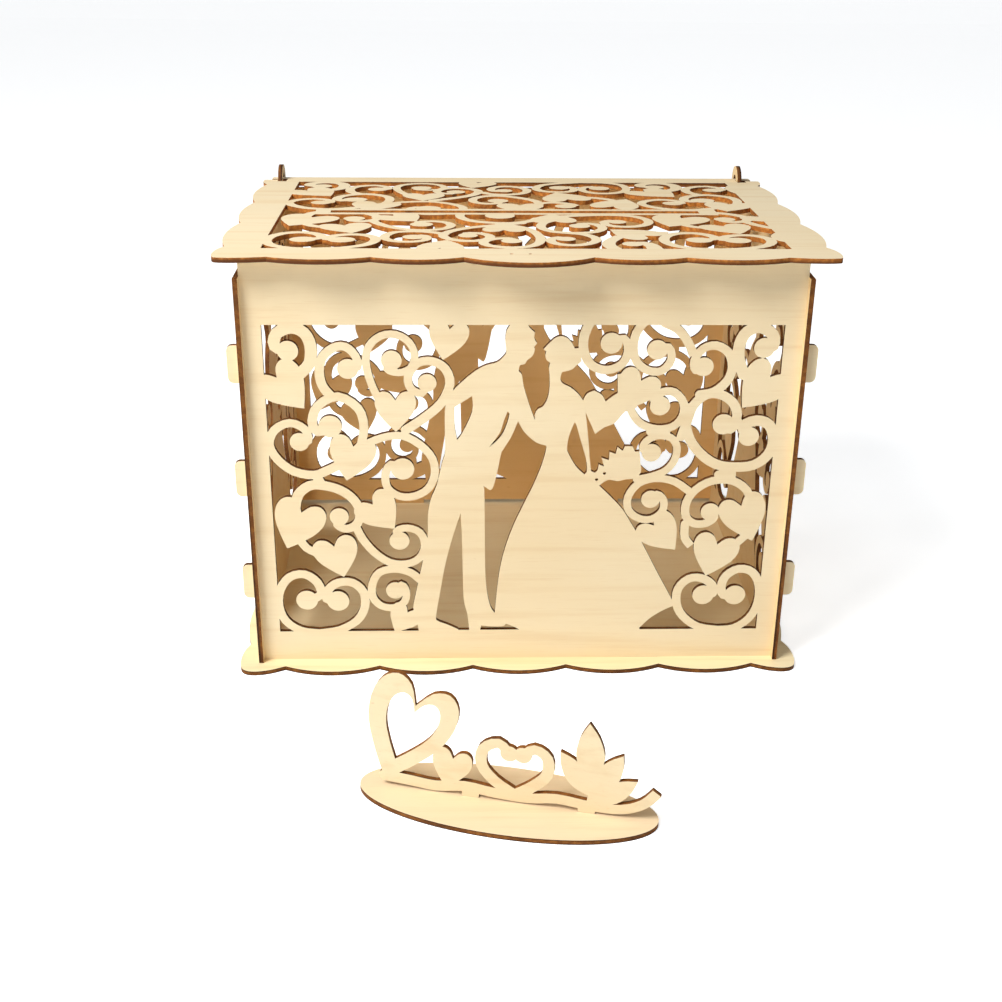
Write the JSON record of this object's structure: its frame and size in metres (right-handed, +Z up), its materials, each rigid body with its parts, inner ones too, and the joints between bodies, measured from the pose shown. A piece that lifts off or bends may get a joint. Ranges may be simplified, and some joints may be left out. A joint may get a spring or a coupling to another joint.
{
  "type": "wedding card box",
  "caption": "Fretwork plywood card box with a scalloped base, a hinged openwork lid with a card slot, and a loose oval-footed table sign.",
  "frame": {"origin": "middle of the footprint of the box and its sign, on the surface they stand on", "axes": "+Z up, -Y the side that the couple and the sign face, +X to the right seen from the front"},
  "size_m": [0.3074, 0.3806, 0.2319],
  "materials": {
    "base_plate": "bare birch plywood with browned laser-cut edges",
    "front_panel": "bare birch plywood with browned laser-cut edges",
    "back_panel": "bare birch plywood with browned laser-cut edges",
    "left_side_panel": "bare birch plywood with browned laser-cut edges",
    "right_side_panel": "bare birch plywood with browned laser-cut edges",
    "lid_panel": "bare birch plywood with browned laser-cut edges",
    "sign_base": "bare birch plywood with browned laser-cut edges",
    "sign_ornament": "bare birch plywood with browned laser-cut edges"
  },
  "bodies": {
    "box": {"base_plate": "base_plate", "front_panel": "front_panel", "back_panel": "back_panel", "left_side_panel": "left_side_panel", "right_side_panel": "right_side_panel"},
    "lid": {"lid_panel": "lid_panel"},
    "sign": {"sign_base": "sign_base", "sign_ornament": "sign_ornament"}
  },
  "joints": [
    {"name": "lid_hinge", "type": "hinge", "parent": "box", "child": "lid", "pos_m": [0, 0.17529, 0.222], "axis": [-1, 0, 0], "range_deg": [0, 225]},
    {"name": "sign_lift", "type": "slide", "parent": "box", "child": "sign", "axis": [0, 0, 1], "range_m": [0, 0.3]}
  ]
}
